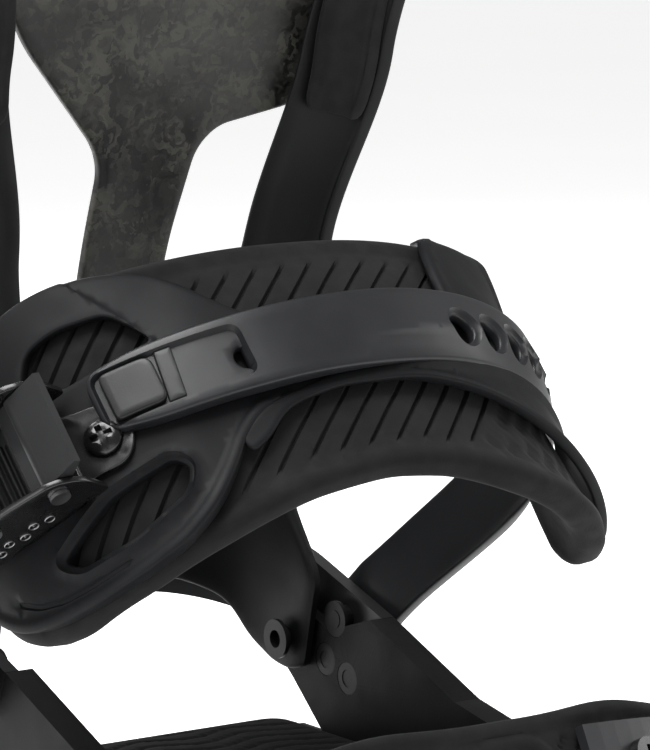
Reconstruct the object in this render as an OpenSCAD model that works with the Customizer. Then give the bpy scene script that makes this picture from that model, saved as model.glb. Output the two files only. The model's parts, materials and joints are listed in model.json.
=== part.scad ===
// Splitboard touring binding for soft boots: slider channel, strap base, heel loop,
// highback and two ratchet straps. Millimetres. X is across (-X is the buckle side),
// Y runs to the heel, Z is up, and the origin is in the middle of the puck channel
// on the board's plane.

/* [Slider channel] */
// Length of the channel that slides over the board's pucks
channel_l = 214; // [210:2:220]
// Outer width of the channel
channel_w = 82; // [80:1:88]
// Height of the channel above the board
channel_h = 21; // [20:1:23]
// Wall thickness of the channel
channel_t = 2.5; // [2:0.5:3]
// Diameter of the touring pin at the toe
pin_d = 6; // [5:0.5:8]

/* [Base] */
// Outer width over the side arms
base_w = 122; // [118:1:126]
// Thickness of the deck
deck_t = 5; // [4:0.5:7]
// Thickness of the boot pads on the deck
footbed_t = 6; // [4:1:8]

/* [Heel loop] */
// Rise of the heel loop towards the heel, in degrees
loop_rise = 19; // [15:1:22]
// Height of the heel loop's band
loop_h = 26; // [22:1:28]
// Thickness of the heel loop's band
loop_t = 4; // [3:0.5:5]

/* [Highback] */
// Forward lean of the highback, in degrees
lean = 14; // [10:1:18]
// Height of the highback above its pivots
back_h = 246; // [230:2:256]
// Thickness of the highback's frame
back_t = 4; // [3:0.5:5]

/* [Ankle strap] */
// Width of the strap's belt
belt_w = 21; // [20:1:23]
// Thickness of the belt
belt_t = 4.2; // [3.5:0.1:5]
// Number of adjustment holes in the belt
belt_holes = 5; // [3:1:5]
// Pitch of the adjustment holes
hole_pitch = 12; // [11:0.5:13]
// Diameter of each adjustment hole's countersink
hole_d = 8.4; // [7:0.2:9]
// Width of the ankle pad at its ends
pad_w = 88; // [84:1:92]
// Width of the ankle pad at its waist
pad_waist = 74; // [68:1:80]
// Thickness of the ankle pad
pad_t = 9; // [7:0.5:10]

/* [Toe strap] */
// Width of the toe strap's belt
toe_belt_w = 20; // [18:1:22]
// Width of the toe cap
cap_w = 36; // [32:1:40]

/* [Hidden] */
$fn = 48;
half_w = base_w / 2;
deck_z = channel_h + deck_t;
arm_t = 4;
arm_in = half_w - loop_t - arm_t - 0.1;
puck_w = channel_w - 2 * channel_t;
channel_y = -17;
toe_pin_y = -112;
toe_pin_z = 11;
screw_d = 5;
// places in the Y-Z plane: start of the heel loop's top edge, then the pivot axes
loop_start = [25, 62];
ankle_pivot = [41.5, 59.5];
back_pivot = [58.5, 52];
toe_pivot = [-70, 32];
ankle_tilt = 45;
toe_tilt = 62;
loop_len = 76;
loop_screw_y = [4, 15];
loop_screw_z = -20.5;
loop_r = 42;
// the ankle arch, seen along the strap: half widths, height and the centre's height
arch_left = 96;
arch_right = 82;
arch_b = 66;
arch_z = 69;
// the pad's and the buckle's middles lie below the belt's
pad_v = -2;
buckle_v = -5.5;
buckle_screw_phi = -50;
toe_a = 76;
toe_b = 30;
toe_z = 18;
belt_x = half_w + 0.5 + belt_t / 2;
ladder_t = 2.6;
tooth_pitch = 2.6;
// depths below the belt's outer face
frame_top = -belt_t - 0.3;
frame_t = 3;
pad_top = frame_top - frame_t - 0.3;
buckle_phi = -66;
toe_buckle_phi = -60;
bracket_w = 30;
flange_t = 1.6;
lever_pin = [-9, 11];
pawl_pin = [9, 6.9];
// lower end of the lean track and of the lean block on it
track_z = 23;
block_z = 24.8;

// ---- helpers ----

function lerp(a, b, t) = a + (b - a) * t;

function ease(t) = t * t * (3 - 2 * t);

// smooth interpolation through rows of [key, value]
function smooth_lookup(k, rows) =
    let (n = len(rows) - 1)
    k <= rows[0][0] ? rows[0][1] :
    k >= rows[n][0] ? rows[n][1] :
    let (i = max([for (j = [0 : n - 1]) if (rows[j][0] <= k) j]))
    lerp(rows[i][1], rows[i + 1][1], ease((k - rows[i][0]) / (rows[i + 1][0] - rows[i][0])));

function bezier(a, b, c, d, n) = [
    for (i = [1 : n])
        let (t = i / n, s = 1 - t)
        a * s * s * s + b * 3 * s * s * t + c * 3 * s * t * t + d * t * t * t
];

function unit(v) = v / norm(v);

// unit normal of a path at its point i
function path_normal(p, i) =
    let (d = unit(p[min(i + 1, len(p) - 1)] - p[max(i - 1, 0)]))
    [-d[1], d[0]];

function path_offset(p, d) = [for (i = [0 : len(p) - 1]) p[i] + d * path_normal(p, i)];

function reversed(p) = [for (i = [len(p) - 1 : -1 : 0]) p[i]];

// the children, and the same mirrored to the -X side
module both_sides() {
    children();
    mirror([1, 0, 0]) children();
}

// a profile in X-Z, extruded along Y from y0 to y1
module across_y(y0, y1) {
    translate([0, y1, 0]) rotate([90, 0, 0]) linear_extrude(y1 - y0) children();
}

// a profile in Y-Z, extruded along X from x0 to x1
module across_x(x0, x1) {
    translate([x0, 0, 0]) rotate([90, 0, 90]) linear_extrude(x1 - x0) children();
}

// a strip that follows a path in X-Z, t thick about the path, from y0 to y1
module ribbon(path, t, y0, y1) {
    across_y(y0, y1) polygon(concat(path_offset(path, t / 2), reversed(path_offset(path, -t / 2))));
}

// a rectangle with round corners
module rounded(size, r) {
    flat = [size[0] - 2 * r, size[1] - 2 * r];
    square([flat[0], size[1]], center = true);
    square([size[0], flat[1]], center = true);
    for (sx = [-1, 1], sy = [-1, 1]) {
        translate([sx * flat[0] / 2, sy * flat[1] / 2]) circle(r);
    }
}

// a slot with round ends, centred, its length along X
module slot(l, w) {
    square([l - w, w], center = true);
    for (s = [-1, 1]) translate([s * (l - w) / 2, 0]) circle(w / 2);
}

// a cylinder along X from x0 to x1 at a place in the Y-Z plane
module x_cyl(at, d, x0, x1) {
    translate([x0, at[0], at[1]]) rotate([0, 90, 0]) cylinder(d = d, h = x1 - x0);
}

// a button-head screw along -X whose head's underside is at x
module side_screw(at, x, l, head_d = 11, head_h = 2.6) {
    difference() {
        union() {
            x_cyl(at, screw_d, x - l, x + 0.5);
            x_cyl(at, head_d, x, x + head_h);
        }
        translate([x + head_h - 1.4, at[0], at[1]]) rotate([0, 90, 0]) cylinder(d = 4.6, h = 3, $fn = 6);
    }
}

// a flanged nut that holds the end of a side screw
module side_nut(at, x0, x1, flange_d = 10, barrel_d = 7) {
    difference() {
        union() {
            x_cyl(at, barrel_d, x0, x1);
            x_cyl(at, flange_d, x0, x0 + 1.2);
        }
        x_cyl(at, screw_d, x0 - 1, x1 + 1);
    }
}

// a pan-head screw down -Z whose head's underside is at the origin
module down_screw(l, d = 5, head_d = 9.5, head_h = 2.6) {
    difference() {
        union() {
            translate([0, 0, -l]) cylinder(d = d, h = l + 0.5);
            cylinder(d = head_d, h = head_h);
        }
        for (a = [0, 90]) rotate(a) translate([0, 0, head_h]) cube([5.4, 1.3, 2.6], center = true);
    }
}

// ---- frames ----

// the heel loop's inclined frame: Y along its top edge, Z up from that edge
module loop_frame() {
    translate([0, loop_start[0], loop_start[1]]) rotate([loop_rise, 0, 0]) children();
}

// the highback's frame: origin on its pivot axis, Z up its back
module back_frame() {
    translate([0, back_pivot[0], back_pivot[1]]) rotate([lean, 0, 0]) children();
}

module ankle_tilted() {
    translate([0, ankle_pivot[0], ankle_pivot[1]]) rotate([ankle_tilt, 0, 0]) children();
}

module toe_tilted() {
    translate([0, toe_pivot[0], toe_pivot[1]]) rotate([toe_tilt, 0, 0]) children();
}

function arch_point(phi, d) = [
    ((phi < 0 ? arch_left : arch_right) + d) * sin(phi),
    arch_z + (arch_b + d) * cos(phi)
];

function toe_point(phi, d) = [(toe_a + d) * sin(phi), toe_z + (toe_b + d) * cos(phi)];

// outward tilt of each arch's surface at phi
function arch_slope(phi) = atan2(sin(phi) / (phi < 0 ? arch_left : arch_right), cos(phi) / arch_b);

function toe_slope(phi) = atan2(sin(phi) / toe_a, cos(phi) / toe_b);

// a point of the toe buckle's own frame, in the toe strap's frame
function toe_buckle_point(x, z) =
    let (a = toe_slope(toe_buckle_phi))
    toe_point(toe_buckle_phi, 1) + [x * cos(a) + z * sin(a), z * cos(a) - x * sin(a)];

function arch_path(phi0, phi1, d, n) = [for (i = [0 : n]) arch_point(lerp(phi0, phi1, i / n), d)];

function toe_path(phi0, phi1, d, n) = [for (i = [0 : n]) toe_point(lerp(phi0, phi1, i / n), d)];

// stand a child on an arch at phi, with Z out of its surface and X up towards the crown
module on_arch(phi, d) {
    p = arch_point(phi, d);
    translate([p[0], 0, p[1]]) rotate([0, arch_slope(phi), 0]) children();
}

module on_toe(phi, d) {
    p = toe_point(phi, d);
    translate([p[0], 0, p[1]]) rotate([0, toe_slope(phi), 0]) children();
}

// ---- slider channel and touring pin ----

channel_y0 = channel_y - channel_l / 2;
channel_y1 = channel_y + channel_l / 2;

module slider_channel() {
    color("silver") difference() {
        across_y(channel_y0, channel_y1) difference() {
            translate([-channel_w / 2, 0]) square([channel_w, channel_h]);
            translate([-puck_w / 2, 2.2]) square([puck_w, channel_h - 2.2 - channel_t]);
            translate([-puck_w / 2 + 5, -1]) square([puck_w - 10, 5]);
        }
        for (y = [-78, -34, 10]) {
            translate([0, y, channel_h - 6]) linear_extrude(8) rounded([48, 28], 6);
        }
        for (y = [-72, -30, 12, 54]) {
            x_cyl([y, 11.5], 9, -channel_w, channel_w);
        }
        x_cyl([toe_pin_y, toe_pin_z], pin_d + 0.1, -channel_w, channel_w);
        for (x = [-32, 32], y = [-96, -12, 32]) {
            translate([x, y, channel_h - 6]) cylinder(d = screw_d + 0.1, h = 8);
        }
    }
}

module puck_bumper() {
    color("dimgray") translate([0, channel_y1 - 5, 3]) difference() {
        translate([-puck_w / 2 + 0.3, 0, 0]) cube([puck_w - 0.6, 5, 14]);
        translate([0, -1, 7]) cube([40, 4, 6], center = true);
    }
}

module touring_pin() {
    color("lightgray") x_cyl([toe_pin_y, toe_pin_z], pin_d, -44, 46);
}

module touring_pin_handle() {
    color("dimgray") difference() {
        translate([46, toe_pin_y, toe_pin_z]) rotate([0, 90, 0]) cylinder(d = 16, h = 7);
        translate([54, toe_pin_y, toe_pin_z]) rotate([90, 0, 0]) cylinder(d = 4, h = 30, center = true);
    }
}

module touring_pin_clip() {
    color("lightgray") translate([55, toe_pin_y, toe_pin_z]) rotate([90, 0, 0]) difference() {
        translate([0, 0, -9.5]) linear_extrude(19) difference() {
            circle(4.2);
            circle(2.6);
        }
        translate([0, 0, -8.1]) cylinder(d = 12, h = 16.2);
    }
}

// ---- base ----

// side outline of an arm, from the toe to the heel loop
module arm_outline() {
    polygon([
        [-100, channel_h - 8], [-98, 30], [-88, 38], [-80, 42], [-60, 42], [-46, 40],
        [-13.5, 46.5], loop_start, [44, 56], [60, 61], [70, 61], [71, 47], [62, 40], [44, 24], [37, channel_h - 6]
    ]);
}

// the part of an arm beside the heel loop, which leaves the loop's thickness free
module loop_seat(clear) {
    loop_frame() translate([0, 0, -60]) linear_extrude(61 + clear) difference() {
        u_plan(half_w + 1, loop_len + 1, loop_r + 1, -clear);
        u_plan(half_w - loop_t - clear, loop_len - loop_t - clear, loop_r - loop_t - clear, -2);
    }
}

module pivot_bores(x0, x1) {
    x_cyl(ankle_pivot, 7.1, x0, x1);
    x_cyl(back_pivot, 7.1, x0, x1);
    loop_frame() for (y = loop_screw_y) x_cyl([y, loop_screw_z], screw_d + 0.1, x0, x1);
}

module base_tray() {
    color([0.2, 0.2, 0.21]) difference() {
        union() {
            translate([-half_w + 2, -104, channel_h]) cube([base_w - 4, 166, deck_t]);
            both_sides() across_x(arm_in, half_w) arm_outline();
        }
        loop_seat(0.2);
        both_sides() {
            pivot_bores(arm_in - 1, half_w + 1);
            x_cyl(toe_pivot, 7.1, arm_in - 1, half_w + 1);
            // seats that hold the nuts' flanges flush with the arm's inner face
            for (at = [ankle_pivot, toe_pivot]) x_cyl(at, 10.2, arm_in - 1, arm_in + 1.4);
            loop_frame() for (y = loop_screw_y) x_cyl([y, loop_screw_z], 9.2, arm_in - 1, arm_in + 1.8);
            // lightening pockets between the arm's ribs
            for (y = [-36, -12]) {
                translate([half_w - 2.2, y, 31]) rotate([90, 0, 90]) linear_extrude(4) rounded([17, 10], 3);
            }
        }
        for (y = [-78, -34, 10]) {
            translate([0, y, channel_h - 1]) linear_extrude(deck_t + 2) rounded([46, 26], 6);
        }
        for (x = [-32, 32], y = [-96, -12, 32]) {
            translate([x, y, channel_h - 1]) cylinder(d = screw_d + 0.1, h = deck_t + 2);
        }
    }
}

module deck_screws() {
    color("silver") for (x = [-32, 32], y = [-12, 32]) {
        translate([x, y, deck_z]) down_screw(7.5);
    }
}

module toe_ramp() {
    color("dimgray") difference() {
        translate([0, 0, deck_z]) across_x(-46, 46) polygon([
            [-107, 0], [-107, 5], [-103, 7], [-88, 4], [-88, 0]
        ]);
        for (x = [-32, 32]) {
            translate([x, -96, deck_z - 1]) cylinder(d = screw_d + 0.1, h = 20);
            translate([x, -96, deck_z + 3]) cylinder(d = 10, h = 20);
        }
    }
}

module toe_ramp_screws() {
    color("silver") for (x = [-32, 32]) translate([x, -96, deck_z + 3]) down_screw(10.5);
}

module footbed_toe() {
    color("black") translate([0, -62, deck_z]) linear_extrude(footbed_t) rounded([92, 44], 9);
}

module footbed_heel() {
    color("black") difference() {
        translate([0, 22, deck_z]) linear_extrude(footbed_t) rounded([88, 66], 14);
        for (x = [-32, 32], y = [-12, 32]) {
            translate([x, y, deck_z - 1]) cylinder(d = 10, h = 4.2);
        }
    }
}

// ---- heel loop ----

// plan of a U's outline from y0 to l, w to each side, with its far corners rounded by r
module u_plan(w, l, r, y0) {
    intersection() {
        translate([-w, y0]) square([2 * w, l - y0]);
        u_corners(w, l, r, y0);
    }
}

module u_corners(w, l, r, y0) {
    translate([-w, y0]) square([2 * w, l - r - y0]);
    translate([-(w - r), y0]) square([2 * (w - r), l - y0]);
    for (s = [-1, 1]) translate([s * (w - r), l - r]) circle(r);
}

module heel_loop() {
    color([0.22, 0.22, 0.23]) difference() {
        loop_frame() translate([0, 0, -loop_h]) linear_extrude(loop_h) u_plan(half_w, loop_len, loop_r, 0);
        loop_frame() translate([0, 0, -loop_h - 1]) linear_extrude(loop_h + 2)
            u_plan(half_w - loop_t, loop_len - loop_t, loop_r - loop_t, -2);
        both_sides() {
            pivot_bores(half_w - loop_t - 1, half_w + 1);
            loop_frame() for (y = loop_screw_y) x_cyl([y, loop_screw_z], 8.8, half_w - 2.4, half_w + 1);
        }
        loop_frame() translate([0, loop_len - 8, -loop_h / 2]) rotate([90, 0, 0])
            translate([0, 0, -20]) linear_extrude(40) slot(46, 10);
    }
}

module heel_loop_screws() {
    color("silver") both_sides() loop_frame() {
        for (y = loop_screw_y) side_screw([y, loop_screw_z], half_w - 2.4, loop_t + arm_t - 2.6, 8.5, 2.2);
    }
}

module heel_loop_nuts() {
    color("silver") both_sides() loop_frame() {
        for (y = loop_screw_y) side_nut([y, loop_screw_z], arm_in + 0.1, arm_in + 1.7, 9, 9);
    }
}

// ---- highback ----

// half width of the highback, and how far its edges reach forward, at a height
back_width = [[-12, 48.6], [24, 48.6], [64, 49.4], [108, 55], [162, 67], [208, 72], [232, 68], [back_h, 50]];
back_reach = [[-12, 37], [18, 36.5], [42, 16], [64, 12], [110, 9], [163, 8], [back_h, 12]];
back_y = 28.5;

// a point of the highback's surface: t from -1 to 1 across it, z up it, d behind its front face
function back_point(t, z, d) =
    let (
        w = smooth_lookup(z, back_width),
        reach = smooth_lookup(z, back_reach),
        square_in = lerp(0.55, 0.9, ease(min(1, max(0, z / 110)))),
        c = pow(abs(cos(90 * t)), square_in),
        s = pow(abs(sin(90 * t)), square_in)
    )
    [sign(t) * (w + d * s) * s, back_y + d * c - reach * (1 - c), z];

module back_shell(z0, z1, d0, d1, rows, cols) {
    grid = [
        for (d = [d0, d1], i = [0 : rows], j = [0 : cols])
            back_point(-1 + 2 * j / cols, lerp(z0, z1, i / rows), d)
    ];
    side = (rows + 1) * (cols + 1);
    faces = concat(
        [for (i = [0 : rows - 1], j = [0 : cols - 1]) let (a = i * (cols + 1) + j)
            [a, a + cols + 1, a + cols + 2]],
        [for (i = [0 : rows - 1], j = [0 : cols - 1]) let (a = i * (cols + 1) + j)
            [a, a + cols + 2, a + 1]],
        [for (i = [0 : rows - 1], j = [0 : cols - 1]) let (a = side + i * (cols + 1) + j)
            [a, a + 1, a + cols + 2]],
        [for (i = [0 : rows - 1], j = [0 : cols - 1]) let (a = side + i * (cols + 1) + j)
            [a, a + cols + 2, a + cols + 1]],
        [for (i = [0 : rows - 1], j = [0, cols]) let (a = i * (cols + 1) + j, b = a + cols + 1)
            j == 0 ? [a, a + side, b + side] : [a, b + side, a + side]],
        [for (i = [0 : rows - 1], j = [0, cols]) let (a = i * (cols + 1) + j, b = a + cols + 1)
            j == 0 ? [a, b + side, b] : [a, b, b + side]],
        [for (j = [0 : cols - 1], i = [0, rows]) let (a = i * (cols + 1) + j)
            i == 0 ? [a, a + 1, a + 1 + side] : [a, a + 1 + side, a + 1]],
        [for (j = [0 : cols - 1], i = [0, rows]) let (a = i * (cols + 1) + j)
            i == 0 ? [a, a + 1 + side, a + side] : [a, a + side, a + 1 + side]]
    );
    polyhedron(points = grid, faces = faces, convexity = 6);
}

// outline of the opening between the legs, in the highback's X-Z plane
module back_opening() {
    polygon([
        [-20, 58], [20, 58], [27, 65], [35, 108], [45, 163], [49, 192], [42, 204],
        [-42, 204], [-49, 192], [-45, 163], [-35, 108], [-27, 65]
    ]);
}

module highback_frame() {
    color([0.13, 0.13, 0.14]) back_frame() difference() {
        back_shell(-12, back_h, 0, back_t, 30, 24);
        across_y(0, 60) back_opening();
        // lower edge, which rises to the heel
        across_x(-80, 80) polygon([[-40, -30], [-16, -7], [4, -9], [28, 8], [60, 8], [60, -30]]);
        for (x = [-80, 40]) {
            x_cyl([0, 0], screw_d + 0.1, x, x + 40);
            x_cyl([-10.5, -2], screw_d, x, x + 40);
        }
        both_sides() across_y(0, 60) translate([56, 226]) circle(5);
    }
}

module highback_panel() {
    color([0.24, 0.25, 0.22]) back_frame() translate([0, back_y + back_t + 0.3, 0]) difference() {
        across_y(0, 3) polygon([
            [-19, track_z - 3], [19, track_z - 3], [13, 55], [14, 106], [19, 133], [24, 141],
            [50, 145], [56, 190], [46, 216], [-46, 216], [-56, 196], [-38, 165], [-13, 136],
            [-10.5, 130], [-12, 106], [-13, 55]
        ]);
        across_y(-1, 4) for (x = [-40, 40]) translate([x, 209]) circle(d = 4.1);
    }
}

module highback_rivets() {
    color("dimgray") back_frame() for (x = [-40, 40]) {
        translate([x, back_y + back_t + 3.3, 209]) rotate([-90, 0, 0]) cylinder(d = 8, h = 1.4);
        translate([x, back_y + back_t + 0.1, 209]) rotate([-90, 0, 0]) cylinder(d = 4, h = 3.6);
    }
}

// a soft pad on one leg of the highback
module leg_pad() {
    back_frame() intersection() {
        back_shell(140, 232, -5.3, -0.3, 10, 20);
        across_y(0, 60) polygon([[48, 146], [63, 145], [67, 190], [61, 224], [48, 229], [50, 190]]);
    }
}

module highback_pad_left() {
    color([0.16, 0.16, 0.17]) mirror([1, 0, 0]) leg_pad();
}

module highback_pad_right() {
    color([0.16, 0.16, 0.17]) leg_pad();
}

module highback_pivot_screws() {
    color("silver") both_sides() side_screw(back_pivot, half_w, 14, 12, 2.6);
}

module highback_pivot_nuts() {
    color("silver") both_sides() side_nut(back_pivot, 44.7, 47.4, 11, 8);
}

track_y = back_y + back_t + 3.6;
lean_lever_pin = [track_y + 11, block_z + 3.6];

module lean_track() {
    color([0.2, 0.2, 0.21]) back_frame() difference() {
        translate([-8, track_y, track_z]) cube([16, 3, 62]);
        for (z = [track_z + 4 : 4 : track_z + 58]) translate([-9, track_y + 2, z]) cube([18, 2, 1.6]);
    }
}

module lean_block() {
    color([0.22, 0.22, 0.23]) back_frame() difference() {
        translate([-13, track_y + 0.3, block_z]) cube([26, 13.7, 24]);
        translate([-8.3, track_y - 1, block_z - 1]) cube([16.6, 4.3, 26]);
        translate([-14, track_y + 8, block_z + 7]) cube([28, 7, 18]);
        translate([-11.4, track_y + 8, block_z - 1]) cube([22.8, 7, 20]);
        x_cyl(lean_lever_pin, 3.1, -20, 20);
    }
}

module lean_lever_axle() {
    color("silver") back_frame() x_cyl(lean_lever_pin, 3, -13.4, 13.4);
}

module lean_lever() {
    color([0.2, 0.2, 0.21]) back_frame() difference() {
        union() {
            x_cyl(lean_lever_pin, 5, -11, 11);
            translate([-11, track_y + 9, block_z + 4]) cube([22, 4, 26]);
        }
        x_cyl(lean_lever_pin, 3.1, -20, 20);
    }
}

// ---- ankle strap ----

module ankle_pivot_screws() {
    color("silver") both_sides() side_screw(ankle_pivot, belt_x + belt_t / 2 + 0.1, 13, 11, 2.6);
}

module ankle_pivot_nuts() {
    color("silver") both_sides() side_nut(ankle_pivot, arm_in + 0.1, half_w - 0.2, 10, 7);
}

belt_arm = concat(
    arch_path(-44, 90, -belt_t / 2, 24),
    bezier(arch_point(90, -belt_t / 2), [81, 46], [71, 32], [belt_x, 10], 8),
    [[belt_x, -10]]
);

// the adjustment holes follow the belt down from the crown
function hole_phi(i) = 20 + i * hole_pitch / (arch_right - 3) * 180 / PI;

module ankle_belt() {
    color([0.27, 0.27, 0.28]) ankle_tilted() difference() {
        ribbon(belt_arm, belt_t, -belt_w / 2, belt_w / 2);
        for (i = [0 : belt_holes - 1]) {
            on_arch(hole_phi(i), 0) {
                translate([0, 0, -8]) cylinder(d = hole_d - 3, h = 12);
                translate([0, 0, -2]) cylinder(d = hole_d, h = 6);
            }
        }
        // recess for the clip block
        on_arch(-29, 0) translate([0, 0, -3]) linear_extrude(10) slot(34, 15);
        x_cyl([0, 0], screw_d + 0.1, 50, 80);
        // round end about the pivot
        across_x(50, 80) difference() {
            translate([-20, -20]) square([40, 20]);
            circle(belt_w / 2 - 0.01);
        }
    }
}

module ankle_clip_block() {
    color([0.3, 0.3, 0.31]) ankle_tilted() on_arch(-29, 0) {
        translate([-8, 0, -2.9]) linear_extrude(4) rounded([15, 12], 3);
    }
}

module ankle_frame() {
    middle = frame_top - frame_t / 2;
    color([0.26, 0.26, 0.28]) ankle_tilted() difference() {
        union() {
            ribbon(arch_path(-86, -26, middle, 12), frame_t, -43, 40);
            ribbon(arch_path(-28, 44, middle, 12), frame_t, -11, 10);
            ribbon(arch_path(40, 72, middle, 6), frame_t, -40, 42);
        }
        // windows above and below the belt's left part
        on_arch(-49, 0) translate([0, 19, -20]) linear_extrude(40) rounded([22, 12], 5);
        on_arch(-54, 0) translate([0, -28, -20]) linear_extrude(40) rounded([22, 10], 5);
        // rounded outline of the left end
        on_arch(-86, 0) {
            for (v = [-48, 46]) translate([-4, v, -20]) rotate(v > 0 ? 35 : -35) cube([56, 30, 60], center = true);
        }
        buckle_screw_bore();
    }
}

module buckle_screw_bore() {
    on_arch(buckle_screw_phi, 0) translate([0, -2, -20]) cylinder(d = screw_d + 0.2, h = 40);
}

module ankle_pad() {
    color([0.12, 0.12, 0.13]) ankle_tilted() difference() {
        ankle_pad_body(pad_top - pad_t / 2);
        on_arch(buckle_screw_phi, 0) translate([0, -2, -13.5]) cylinder(d = 14, h = 11);
    }
}

module ankle_pad_body(middle) {
    union() {
        ribbon(arch_path(-98, -38, middle, 10), pad_t, pad_v - pad_w / 2, pad_v + pad_w / 2);
        ribbon(arch_path(-38, 32, middle, 12), pad_t, pad_v - pad_waist / 2, pad_v + pad_waist / 2);
        ribbon(arch_path(32, 78, middle, 8), pad_t, pad_v - pad_w / 2 + 1, pad_v + pad_w / 2);
    }
}

// a buckle's bracket: floor, two flanges with pin holes, and a screwed tongue
module buckle_bracket(w) {
    difference() {
        union() {
            translate([-12, -w / 2, -4]) cube([24, w, flange_t]);
            for (s = [-1, 1]) {
                translate([0, s * (w / 2 - flange_t / 2), 0]) across_y(-flange_t / 2, flange_t / 2) polygon([
                    [-17, -4], [-16, 12], [-12, 15], [-5, 15], [12, 12], [16, 6], [17, -4]
                ]);
            }
        }
        for (p = [lever_pin, pawl_pin]) {
            translate([p[0], 0, p[1]]) rotate([90, 0, 0]) cylinder(d = 3.1, h = 2 * w, center = true);
        }
    }
}

module buckle_pin(w, p) {
    translate([p[0], 0, p[1]]) rotate([90, 0, 0]) {
        translate([0, 0, -w / 2]) cylinder(d = 3, h = w);
        for (z = [-w / 2 - 1, w / 2 + 0.05]) translate([0, 0, z]) cylinder(d = 5, h = 0.95);
    }
}

// the lever: knuckles on its pin, a handle that runs down the ladder, and a drive tooth
module buckle_lever(w, l) {
    inner = w - 2 * flange_t - 0.8;
    translate([lever_pin[0], 0, lever_pin[1]]) difference() {
        union() {
            for (s = [-1, 1]) translate([0, s * (inner / 2 - 2.4), 0]) rotate([90, 0, 0])
                cylinder(d = 8, h = 4.8, center = true);
            across_y(-inner / 2, inner / 2) polygon([
                [-3, 1.5], [-3, 4.6], [3, 5.4], [-l * 0.5, 9], [-l, 4], [-l - 3, 0],
                [-l, 0.5], [-l * 0.5, 5.4]
            ]);
        }
        rotate([90, 0, 0]) cylinder(d = 3.1, h = w, center = true);
        cube([9, inner - 9.6, 8.6], center = true);
    }
}

module lever_spring(w) {
    translate([lever_pin[0], 0, lever_pin[1]]) rotate([90, 0, 0]) difference() {
        cylinder(d = 6, h = w - 2 * flange_t - 12, center = true);
        cylinder(d = 3.4, h = w, center = true);
    }
}

module buckle_pawl(w) {
    inner = w - 2 * flange_t - 0.8;
    translate([pawl_pin[0], 0, pawl_pin[1]]) difference() {
        union() {
            rotate([90, 0, 0]) cylinder(d = 6, h = inner, center = true);
            across_y(-inner / 2, inner / 2) polygon([[0, -3], [-6.6, -3], [-7.4, -2.4], [-6, 0], [0, 2.8]]);
            across_y(-inner / 2, inner / 2) polygon([[0, 3], [9, 5.4], [10, 4], [2, -2]]);
        }
        rotate([90, 0, 0]) cylinder(d = 3.1, h = w, center = true);
    }
}

// stand a child on the ankle buckle's floor
module ankle_buckle() {
    ankle_tilted() on_arch(buckle_phi, 0) translate([0, buckle_v, 0]) children();
}

module ankle_buckle_bracket() {
    color([0.1, 0.1, 0.1]) ankle_tilted() difference() {
        union() {
            on_arch(buckle_phi, 0) translate([0, buckle_v, 0]) buckle_bracket(bracket_w);
            ribbon(arch_path(-64, -45.3, frame_top + 0.1 + flange_t / 2, 8), flange_t, -10, 7);
        }
        buckle_screw_bore();
    }
}

module ankle_buckle_screw() {
    color("silver") ankle_tilted() on_arch(buckle_screw_phi, 0) translate([0, -2, frame_top + flange_t + 0.5]) down_screw(6.6, 5, 8.4);
}

module ankle_buckle_nut() {
    color("silver") ankle_tilted() on_arch(buckle_screw_phi, 0) translate([0, -2, frame_top - frame_t - 0.3]) difference() {
        translate([0, 0, -1.6]) cylinder(d = 11, h = 1.5);
        translate([0, 0, -3]) cylinder(d = screw_d + 0.1, h = 6);
    }
}

module ankle_lever() {
    color([0.3, 0.3, 0.31]) ankle_buckle() buckle_lever(bracket_w, 46);
}

module ankle_lever_pin() {
    color("silver") ankle_buckle() buckle_pin(bracket_w, lever_pin);
}

module ankle_lever_spring() {
    color("silver") ankle_buckle() lever_spring(bracket_w);
}

module ankle_pawl() {
    color([0.32, 0.32, 0.33]) ankle_buckle() buckle_pawl(bracket_w);
}

module ankle_pawl_pin() {
    color("silver") ankle_buckle() buckle_pin(bracket_w, pawl_pin);
}

// one ratchet tooth on a strip that is ladder_t thick
module ladder_tooth(w) {
    across_y(-w / 2, w / 2) polygon([[-tooth_pitch / 2, -0.2], [0.4, 1.1], [0.7, 1.1], [0.9, -0.2]]);
}

module ankle_ladder() {
    color([0.16, 0.16, 0.17]) ankle_tilted() {
        difference() {
            ribbon(concat(
                [[-belt_x, -10], [-belt_x, 0]],
                bezier([-belt_x, 0], [-belt_x, 24], arch_point(-98, 0.4) + [4, -22], arch_point(-98, 0.4), 8),
                arch_path(-94, -60, 0.4, 10)
            ), ladder_t, buckle_v - 9, buckle_v + 12);
            x_cyl([0, 0], screw_d + 0.1, -80, -50);
            across_x(-80, -50) difference() {
                translate([-20, -20]) square([40, 20]);
                circle(10);
            }
        }
        for (phi = [-92 : 1.9 : -62]) on_arch(phi, 0.4 + ladder_t / 2) translate([0, buckle_v, 0]) ladder_tooth(16);
    }
}

// ---- toe strap ----

module toe_pivot_screws() {
    color("silver") both_sides() side_screw(toe_pivot, belt_x + belt_t / 2 + 0.1, 13, 10, 2.4);
}

module toe_pivot_nuts() {
    color("silver") both_sides() side_nut(toe_pivot, arm_in + 0.1, half_w - 0.2, 10, 7);
}

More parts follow.
